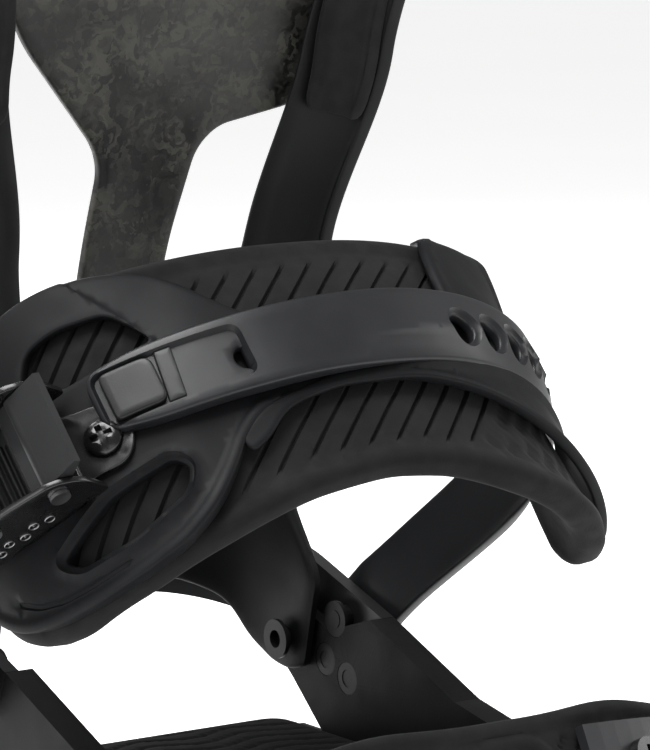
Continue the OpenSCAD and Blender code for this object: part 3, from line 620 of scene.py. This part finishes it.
def sides_of(path, *offsets):
    """Lines along a (phi, v) path at those distances to its left, which keep a groove's sides crisp."""
    line = np.array([(along(p), v) for p, v in path])
    out = []
    for w in offsets:
        moved = []
        for a, b in zip(line[:-1], line[1:]):
            side = np.array((-(b - a)[1], (b - a)[0])) / np.linalg.norm(b - a)
            n = max(2, int(np.linalg.norm(b - a) / 1.6))
            moved += [a + (b - a) * (k + 0.5) / n + side * w for k in range(n)]
        out.append(np.array(moved))
    return out


def outlines(ring, *offsets):
    """Closed lines round a ring at those distances outside it (or inside, if negative)."""
    side = np.roll(ring, -1, 0) - np.roll(ring, 1, 0)
    normal = np.stack([side[:, 1], -side[:, 0]], 1) / np.linalg.norm(side, axis=1)[:, None]
    out = []
    for w in offsets:
        moved = ring + normal * w
        moved = moved[distance(moved, [ring]) > abs(w) * 0.96]
        if len(moved) > 3:
            out.append(np.concatenate([moved, moved[:1]]))
    return out


PAD_TOP, PAD_T = -7.9, 8.6
SLOT_PITCH, SLOT_SLANT = 8.8, 1.15
# Outlines round the ankle are (degrees along the arch, mm toward the knee, own corner radius).
PAD_UPPER = [(-104, 8), (-102.5, 20), (-98, 31), (-90, 37), (-78, 40), (-40, 41.5), (0, 40.5),
             (30, 41.5), (46, 42.5), (58, 38), (66, 25), (72, 4), (77, -16), (80.5, -27), (82, -33)]
PAD_LOWER = [(-104, -6), (-102, -19), (-97, -31), (-88, -39.5), (-78, -43), (-58, -43.5), (-40, -41),
             (-22, -37), (-6, -35.5), (8, -37.5), (24, -42), (45, -45), (68, -45), (77, -43),
             (80.5, -39.5), (82, -35)]


def ankle_pad():
    """Saddle-shaped foam: a rounded rim round a lower field that diagonal slots cross."""
    outline = [(along(p), v) for p, v in PAD_UPPER[::-1] + PAD_LOWER]
    skew = math.hypot(1, SLOT_SLANT)

    def across(u, v):
        """Distance from the nearest slot's middle line."""
        c = (u - SLOT_SLANT * v) / SLOT_PITCH
        return np.abs(c - np.round(c)) * SLOT_PITCH / skew

    def top(u, v, d):
        field = smooth(u, along(-80), along(-74)) * (1 - smooth(u, along(52), along(56)))
        slots = -1.25 * (1 - smooth(across(u, v), 0.33, 0.7)) * smooth(d - 2.5 * (v > 0), 7.4, 8.8) * field
        return slots - 1.1 * smooth(d, 4.6, 5.8) + 0.5 * smooth(d, 0, 26)

    lines = []
    v = np.arange(-45, 42, 2.0)
    for k in range(-16, 24):
        for off in (-0.72, -0.34, 0.34, 0.72):
            u = SLOT_SLANT * v + k * SLOT_PITCH + off * skew
            shown = (u > along(-80)) & (u < along(56))
            if shown.sum() > 2:
                lines.append(np.stack([u, v], 1)[shown])
    shape = plate_shape(outline, [], PAD_TOP - PAD_T, PAD_TOP, 2.6, on_saddle, 2.2, 5, top, lines=lines)
    o = make("ankle_pad_moulded", *shape, "ankle_strap", "soft_pad", ["ankle_pad"], 60)


def S(points):
    """An outline's degrees turned into lengths along the belt's line."""
    return [(along(p[0]), *p[1:]) for p in points]


FRAME_OUTER = [(-99, -6, 8), (-97, -22, 10), (-88, -35, 10), (-78, -41, 8), (-66, -43.5), (-56, -43.5),
               (-47, -41.5), (-39, -36, 9), (-33, -28, 9), (-28, -19, 8),
               (-22, -13, 9), (-8, -10.5), (14, -10.5), (40, -11, 6), (62, -13, 4), (62, 10, 4),
               (20, 9.5), (-10, 9.5, 6), (-18, 13.5, 8), (-22.5, 22, 8),
               (-26, 30, 8), (-30.5, 36, 8), (-38, 40.3, 8), (-47, 41, 8), (-56, 39.5, 8),
               (-66, 35, 10), (-78, 29, 10), (-90, 19, 10), (-97, 8, 8)]
UPPER_WINDOW = [(-61, 17, 3), (-57, 25, 4), (-50, 27.4, 4), (-40, 26, 5), (-37.5, 20.5, 4),
                (-35, 14, 3), (-54, 11, 3)]
LOWER_WINDOW = [(-69, -29, 2), (-66, -33.4, 3), (-54, -33.8, 4), (-42, -28.6, 4), (-39.6, -22.6, 3),
                (-41.5, -19.2, 3), (-55, -21.6, 3)]
CURL = [(-84, -29), (-79, -34), (-73, -37.2), (-66, -38.6), (-57, -38.6)]
CREASE = ((12, 27, 41), (along(-34.5), along(-39), along(-43.5)))


def ankle_frame():
    """The moulded frame over the pad: a base with two windows, a flange, and a tab over the pad's rim."""
    knee = np.arange(9, 42, 1.6)
    curl = trench(CURL, 1.6, 0.7)
    rings = [spaced(fillet(S(w), 3), 1.5) for w in (UPPER_WINDOW, LOWER_WINDOW)]
    border = spaced(fillet(S(FRAME_OUTER), 4), 1.8)

    def top(u, v, d):
        pts = np.stack([u, v], 1)
        far = distance(pts, rings)
        flap = -0.8 * smooth(u - np.interp(v, *CREASE), -0.35, 0.35) * smooth(v, 8, 12)
        step = 1.0 * smooth(far, 1.3, 2.0) * (1 - smooth(v, -8, -4)) * (1 - smooth(u, along(-40), along(-30)))
        outer = 0.7 * (1 - smooth(d, 2.4, 3.1))
        return curl(u, v) + flap + step + outer * (v < -12) - 0.35 * smooth(u, along(-28), along(-20))

    lines = sides_of(CURL, -0.95, -0.45, 0.45, 0.95)
    lines += [np.stack([np.interp(knee, *CREASE) + w, knee], 1) for w in (-0.35, 0.35)]
    lines += outlines(rings[1], 1.3, 2.0) + outlines(border, -2.4, -3.1)
    windows = [S(UPPER_WINDOW), S(LOWER_WINDOW)]
    base = plate_shape(S(FRAME_OUTER), windows, -7.6, -4.9, 0.8, on_saddle, 2.0, 4, top, lines=lines)
    # the lower flange that widens toward the inner side of the foot
    flange = [(-30, -20, 6), (-24, -13.5, 6), (-8, -8.5, 5), (20, -7), (50, -9), (70, -14, 6),
              (79, -24, 6), (80.5, -34, 5), (76, -38.5, 5), (66, -36.5, 6),
              (50, -31, 8), (34, -23.5, 10), (18, -17, 10), (4, -13.2, 8), (-10, -12.6, 6),
              (-20, -15.5, 6), (-25, -22, 5), (-29, -25, 4)]

    def flange_top(u, v, d):
        return 1.1 * (1 - smooth(d, 1.6, 3.2)) * smooth(u, along(-5), along(10)) - 0.2 * smooth(d, 3.4, 8)

    lower = plate_shape(S(flange), [], -6.4, -4.5, 0.8, on_saddle, 2.2, 5, flange_top,
                        lines=outlines(spaced(fillet(S(flange), 5), 1.8), -1.6, -3.2))
    # the tab that wraps the pad's knee-side rim
    tab = [(24, 11, 4), (25.5, 26, 10), (28, 38, 10), (33, 45.5, 10), (42, 47.5, 10), (51, 44, 12),
           (59, 32, 14), (64, 11, 4)]

    def tab_low(u, v, d):
        return -0.1 * np.maximum(v - 38, 0) ** 2

    def tab_top(u, v, d):
        return 0.6 * (1 - smooth(d, 2.2, 3.4)) + tab_low(u, v, d)

    upper = plate_shape(S(tab), [], -7.4, -4.6, 1.9, on_saddle, 2.2, 6, tab_top, tab_low)
    make("ankle_frame_moulded", *join(base, lower, upper), "ankle_strap", "strap_frame", ["ankle_frame"], 50)


HOLES = [20 + i * 12 / (A_RIGHT - 3) * 180 / math.pi for i in range(6)]


def ankle_belt():
    """The belt with its adjustment holes and clip recess, and the clip block in it."""
    end = pivot_s
    outline = [(along(-49), -7.5, 5), (along(-40), -10.2, 8), (along(-22), -10.6), (along(0),
               -9.6, 20), (along(20), -9), (along(45), -9.4, 20), (along(72), -10.6, 20),
               (along(90), -11.2, 10), (end - 16, -10, 10), (end + 2, -11.6, 9), (end + 12, -7, 9),
               (end + 12, 7, 9), (end + 2, 11.6, 9), (end - 16, 10, 10),
               (along(90), 11.2, 10), (along(60), 11.4), (along(30), 12, 20), (along(0), 12.2, 20),
               (along(-20), 11, 8), (along(-40), 10.2, 8), (along(-49), 8.5, 5)]
    wall = along(-22.4)
    slot_ring = [spaced(fillet([(along(-48), -7.4), (wall, -7.0), (wall, 8.2), (along(-48), 7.8)], 3.4), 1.2)]
    centres = [(along(p), 0.6) for p in HOLES]
    holes = [circle(u, v, 4.1) for u, v in centres]
    turns = np.linspace(-math.pi / 2, math.pi / 2, 12)
    half = [(wall - 1.0 - 2.9 * math.cos(a), -1.0 + 3.1 * math.sin(a), 0.01) for a in turns]

    def ridge_at(u):
        return -3.4 + 5.4 * smooth(u, along(-12), along(55))

    def top(u, v, d):
        pts = np.stack([u, v], 1)
        ridge = ridge_at(u)
        fade = smooth(u, along(-22), along(8)) * (1 - smooth(u, along(80), along(90) + 20))
        facet = -0.34 * np.maximum(ridge - v, 0) * fade - 0.05 * np.maximum(v - ridge, 0) * fade
        depth = distance(pts, slot_ring) * np.where(inside(pts, slot_ring[0]), 1, -1)
        recess = -1.5 * smooth(depth, -0.1, 0.7)
        near = np.min([np.hypot(u - a, v - b) for a, b in centres], 0)
        seat = -1.0 * (1 - smooth(near, 5.05, 5.75))
        return facet + recess + seat

    turn = np.linspace(0, 2 * math.pi, 27)
    lines = [np.stack([a + r * np.cos(turn), b + r * np.sin(turn)], 1)
             for a, b in centres for r in (5.05, 5.75)]
    lines += outlines(slot_ring[0], 0.1, -0.7)
    s_line = np.arange(along(-14), along(80), 2.5)
    lines.append(np.stack([s_line, ridge_at(s_line)], 1))
    holes += [circle(end, 0, 2.65), half]
    shape = plate_shape(outline, holes, -4.2, 0, 0.9, on_belt, 2.2, 5, top, lines=lines)
    make("ankle_belt_moulded", *shape, "ankle_strap", "strap_belt", ["ankle_belt"], 48)
    block_outline = S([(-46.5, -6.2, 2), (-37.2, -6.2, 3), (-37.2, 7, 3), (-46.5, 7, 2)])
    block = plate_shape(block_outline, [], -1.7, 0.2, 0.6, on_belt, 1.4, 2.4)
    step_outline = S([(-37.4, -6.8, 0.5), (-34.4, -6.8, 0.8), (-33.4, 7.6, 0.8), (-36.4, 7.6, 0.5)])
    step = plate_shape(step_outline, [], -1.7, -0.6, 0.4, on_belt, 1.2, 0.6)
    block = join(block, step)
    make("ankle_clip_block_moulded", *block, "ankle_strap", "lever_plastic", ["ankle_clip_block"], 50)


def standing(phi, v, flip):
    """place function of a plate on edge beside the buckle: x along the strap, z up, h across."""
    put = on_arch_at(phi, v, 0)
    return lambda x, z, h: put(x, flip * h, z)


BRACKET_PHI = -66


def ankle_bracket():
    """Folded steel bracket: a tongue under the screw, a floor, and two drilled cheeks."""
    mid, w = -5.5, 15.0
    tongue = S([(-65, mid - 12, 1), (-59, mid - 12.5, 4), (-55, -15.5, 6), (-47.5, -16, 9), (-44.2, -7.5, 9),
                (-47, 1.2, 7), (-55, 2.5, 6), (-60, mid + 12, 4), (-65, mid + 12, 1)])
    shapes = [plate_shape(tongue, [circle(along(-50), -7.5, 2.7)], -4.3, -2.8, 0.35, on_saddle, 2.0, 3,
                          lambda u, v, d: 0.5 * (1 - smooth(d, 1.0, 1.6)))]
    bottom = [(-12, -w, 1), (12, -w, 1), (12, w, 1), (-12, w, 1)]
    shapes.append(plate_shape(bottom, [], -4, -2.4, 0.3, on_arch_at(BRACKET_PHI, mid, 0), 3, 1))
    cheek = [(-17, -4, 1), (-16.5, 11, 3), (-12, 15, 3), (-4, 15, 4), (11, 12.4, 4), (16, 6, 3), (17, -4, 1)]
    drilled = [(-13.2, 0.2), (-9.6, 2.0), (-5.8, 0.4), (-2.0, 2.2), (1.8, 0.6)]
    cuts = [circle(-9, 11, 1.56), circle(9, 6.9, 1.56)] + [circle(x, z, 1.15, 12) for x, z in drilled]
    for flip in (-1, 1):
        shapes.append(plate_shape(cheek, cuts, w - 1.6, w, 0.35, standing(BRACKET_PHI, mid, flip), 2.2, 2))
    make("ankle_bracket_folded", *join(*shapes), "ankle_strap", "black_metal", ["ankle_buckle_bracket"], 40)
    turn = np.linspace(0, 2 * math.pi, 17)[:-1]
    rims = []
    for flip in (-1, 1):
        put = standing(BRACKET_PHI, mid, flip)
        for x, z in drilled:
            rim = put(x + 1.25 * np.cos(turn), z + 1.25 * np.sin(turn), np.full(16, w + 0.02))
            rims.append(wire_ring(rim, 0.16, 6))
    make("ankle_bracket_bright_rims", *join(*rims), "ankle_strap", "steel", (), 80)


def cross_screw(name, place, body, slot, node, radius=4.7, shank=5.6):
    """A domed screw head with a cross recess, on its shank."""
    a, b = 0.75, 2.7
    cross = np.array([(a, a), (a, b), (-a, b), (-a, a), (-b, a), (-b, -a),
                      (-a, -a), (-a, -b), (a, -b), (a, -a), (b, -a), (b, a)])
    lines = [np.concatenate([cross * k, cross[:1] * k]) for k in (0.97, 1.05)]

    def top(x, y, d):
        x, y = np.abs(x), np.abs(y)
        cut = smooth(a + 0.12 - np.minimum(x, y), 0, 0.16) * smooth(b + 0.12 - np.maximum(x, y), 0, 0.16)
        return -0.07 * (x * x + y * y) - 1.5 * cut

    head = plate_shape(circle(0, 0, radius, 36), [], 0, 2.7, 0.5, place, 0.9, 0.01, top, lines=lines)
    body_shape = lathe([(2.2, -shank), (2.5, -shank + 0.3), (2.5, 0.05)], place, 24)
    make(name, *join(head, body_shape), body, slot, [node], 40)


ankle_pad()
ankle_frame()
ankle_belt()
ankle_bracket()
screw_place = on_arch_at(-50, -7.5, -2.4)
cross_screw("ankle_screw_domed", screw_place, "ankle_strap", "black_metal", "ankle_buckle_screw")

# ---------------------------------------------------------------- highback

LEAN = math.radians(14)
BACK_PIVOT = (58.5, 52)
BACK_Y, BACK_T, BACK_H = 28.5, 4.0, 246.0
# (height, half width) and (height, how far the sides reach forward)
WIDTHS = [(-12, 48.6), (24, 48.6), (64, 49.4), (108, 55), (162, 67), (208, 72), (232, 68), (BACK_H, 50)]
REACHES = [(-12, 37), (18, 36.5), (42, 16), (64, 12), (110, 9), (163, 8), (BACK_H, 12)]
HALF_U = 85.0


def leaning(x, y, z):
    """From the highback's own frame, at its pivot and leaning back, to the world."""
    c, s = math.cos(LEAN), math.sin(LEAN)
    return np.stack([x, BACK_PIVOT[0] + y * c - z * s, BACK_PIVOT[1] + y * s + z * c], 1)


def eased(z, rows):
    """A value at height z, eased between rows of (height, value)."""
    z = np.asarray(z, float)
    keys = np.array([row[0] for row in rows], float)
    i = np.clip(np.searchsorted(keys, z, side="right") - 1, 0, len(rows) - 2)
    t = smooth((z - keys[i]) / (keys[i + 1] - keys[i]), 0, 1)
    vals = np.array([row[1] for row in rows])
    return vals[i] + (vals[i + 1] - vals[i]) * t


def squareness(z):
    """The exponent of the shell's plan curve: boxier low down."""
    return 0.55 + 0.35 * smooth(np.asarray(z, float), 0, 110)


def on_back(u, z, h):
    """The highback's shell: u from -HALF_U to HALF_U across it, h in front of its front face."""
    t = np.clip(u / HALF_U, -1, 1)
    w, reach, k = eased(z, WIDTHS), eased(z, REACHES), squareness(z)
    c, s = np.abs(np.cos(np.pi / 2 * t)) ** k, np.abs(np.sin(np.pi / 2 * t)) ** k
    d = -np.asarray(h)
    return leaning(np.sign(t) * (w + d * s) * s, BACK_Y + d * c - reach * (1 - c), z)


def back_u(x, z):
    """The u at which the shell's front face lies at x."""
    share = min(1.0, abs(x) / float(eased(z, WIDTHS))) ** (1 / float(squareness(z)))
    return math.copysign(HALF_U * 2 / math.pi * math.asin(share), x)


def B(points):
    """An outline's x turned into u on the shell."""
    return [(back_u(p[0], p[1]), *p[1:]) for p in points]


def highback():
    """The shell with its opening and eyes, the carbon panel behind it, and its two pads."""
    right = [(18, 9, 6), (46, 3, 8), (62, -6, 6), (77, -9.5, 5), (85, -8.5, 6)]
    right += [(85, z) for z in range(16, 214, 16)]
    right += [(85, 217), (84, 224), (81.5, 231), (77.5, 237), (72, 241.5), (65, 244.5), (57, 245.8)]
    outline = right + [(-u, z, *more) for u, z, *more in right[::-1]]
    opening = B([(-20, 58, 6), (20, 58, 6), (27, 65, 6), (31, 86), (35, 108, 6), (40, 136),
                 (45, 163, 6), (49, 190, 8), (42, 204, 9),
                 (-42, 204, 9), (-49, 190, 8), (-45, 163, 6), (-40, 136), (-35, 108, 6), (-31, 86),
                 (-27, 65, 6)])
    eyes = [circle(back_u(x, 226), 226, 4.6) for x in (-56, 56)]
    ring = [spaced(fillet(opening, 6), 2)]

    def top(u, z, d):
        far = distance(np.stack([u, z], 1), ring)
        band = smooth(z, 64, 72) * (1 - smooth(z, 132, 138))
        return -0.6 * (1 - smooth(far, 2.2, 2.9)) - 0.5 * smooth(d, 5, 6) * band

    shape = plate_shape(outline, [opening] + eyes, -BACK_T, 0, 1.1, on_back, 3.0, 5, top)
    make("highback_shell", *shape, "highback", "back_plastic", ["highback_frame"], 45)

    panel = [(-19, 20, 3), (19, 20, 3), (13, 55, 10), (14, 106, 10), (19.3, 133.3, 5), (25, 139.5, 5),
             (50, 145, 5), (56, 190, 10), (46, 216, 6),
             (-46, 216, 6), (-56, 196, 10), (-38, 163.5, 6), (-13, 135, 5), (-10.3, 128, 8),
             (-12, 106, 10), (-13, 55, 10)]
    bolts = [circle(x, 209, 2.05) for x in (-40, 40)]

    def panel_top(x, z, d):
        return -0.45 * smooth(d, 3.2, 4.2) - 0.5 * smooth(d, 4.5, 16)

    shape = plate_shape(panel, bolts, 0, 3, 0.9, lambda x, z, h: leaning(x, 35.6 - h, z), 3.0, 5, panel_top)
    make("highback_carbon_panel", *shape, "highback", "forged_carbon", ["highback_panel"], 45)

    def pad_top(u, z, d):
        return -0.45 * (1 - smooth(np.abs(d - 2.6), 0.25, 0.7)) + 0.9 * smooth(d, 2.8, 9)

    for side_name, flip in (("left", -1), ("right", 1)):
        corners = [(47.5, 146, 6), (64, 143, 7), (67, 165), (69, 190, 6), (64.5, 222, 9), (50, 229, 8),
        (51.5, 196, 8), (48.5, 168)]
        outline = [(flip * u, z, *more) for u, z, *more in B(corners)]
        shape = plate_shape(outline, [], 0.3, 4.4, 1.7, on_back, 1.8, 6, pad_top)
        node = f"highback_pad_{side_name}"
        o = make(node + "_moulded", *shape, "highback", "soft_pad", [node], 70)


highback()

# ---------------------------------------------------------------- footbeds and toe strap


def footbed(name, corner, tread):
    """A foam sole pad the size of its CAD node, with a tread cut in it."""
    (x0, y0, z0), (x1, y1, z1) = [[c / MM for c in p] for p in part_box(name)]
    outline = [(x0, y0, corner), (x1, y0, corner), (x1, y1, corner), (x0, y1, corner)]

    def top(u, v, d):
        cut = -1.3 * (1 - smooth(np.abs(tread(u, v)), 0.35, 0.8)) * smooth(d, 4.5, 5.5)
        return cut + 0.5 * smooth(d, 0, 10) - 0.5

    shape = plate_shape(outline, [], z0, z1, 2.2, lambda x, y, h: np.stack([x, y, h], 1), 1.1, corner, top)
    o = make(name + "_moulded", *shape, "chassis", "footbed_foam", [name], 60)


def wave(u, v):
    """Distance from the nearest wavy tread line."""
    c = (v + 2.2 * np.sin(u * 0.21)) / 6.5
    return (c - np.round(c)) * 6.5


footbed("footbed_toe", 9, wave)
footbed("footbed_heel", 9, wave)

TOE = tilted((-70, 32), 62)
T_HALF, T_RISE, T_BASE = 76.0, 30.0, 18.0
T_PHI = np.linspace(-90, 90, 121)
t_turn = np.radians(T_PHI)
toe_line = Line(np.stack([T_HALF * np.sin(t_turn), T_BASE + T_RISE * np.cos(t_turn)], 1))


def toe_s(phi):
    return float(np.interp(phi, T_PHI, toe_line.s))


def on_toe(s, v, h):
    p = toe_line.at(s, h)
    return TOE(p[:, 0], v, p[:, 1])


def toe_cap():
    """The slotted foam cap over the toes, with a round-ended window."""
    rim = [(-57, -15, 6), (-30, -16, 8), (30, -16, 8), (57, -15, 6), (57, 14, 6),
           (28, 17, 8), (10, 15, 8), (-10, 15, 8), (-28, 17, 8), (-57, 14, 6)]
    outline = [(toe_s(phi), v, r) for phi, v, r in rim]
    window = stadium(toe_s(0), 0, 22, 14)
    hub = [spaced(np.array([p[:2] for p in window]), 1.4)]

    def top(u, v, d):
        c = (u - 0.8 * v) / 7
        clear = smooth(d, 5.5, 6.5) * smooth(distance(np.stack([u, v], 1), hub), 4, 5)
        slot = -0.9 * (1 - smooth(np.abs(c - np.round(c)) * 7, 0.4, 0.9)) * clear
        return slot - 0.7 * smooth(d, 3, 4)

    shape = plate_shape(outline, [window], -8.5, -3.6, 1.8, on_toe, 1.1, 6, top)
    o = make("toe_cap_moulded", *shape, "toe_strap", "soft_pad", ["toe_cap"], 60)


toe_cap()

# ---------------------------------------------------------------- carried-over CAD nodes

for part in frame["record"]["subparts"]:
    node = frame["nodes"][part["node"]]
    node.data.materials.clear()
    # duller than their slot's material, so that they stand out less in the dark plastic
    blackened = part["node"].startswith(("heel_loop_", "highback_pivot_", "ankle_pivot_"))
    node.data.materials.append(MATERIALS["blackened_metal" if blackened else part["material_slot"]])
    crisp = node.modifiers.new("broken_edges", "BEVEL")
    crisp.width = 0.00045
    crisp.segments = 2
    crisp.limit_method = "ANGLE"
    crisp.angle_limit = math.radians(40)
    crisp.use_clamp_overlap = True
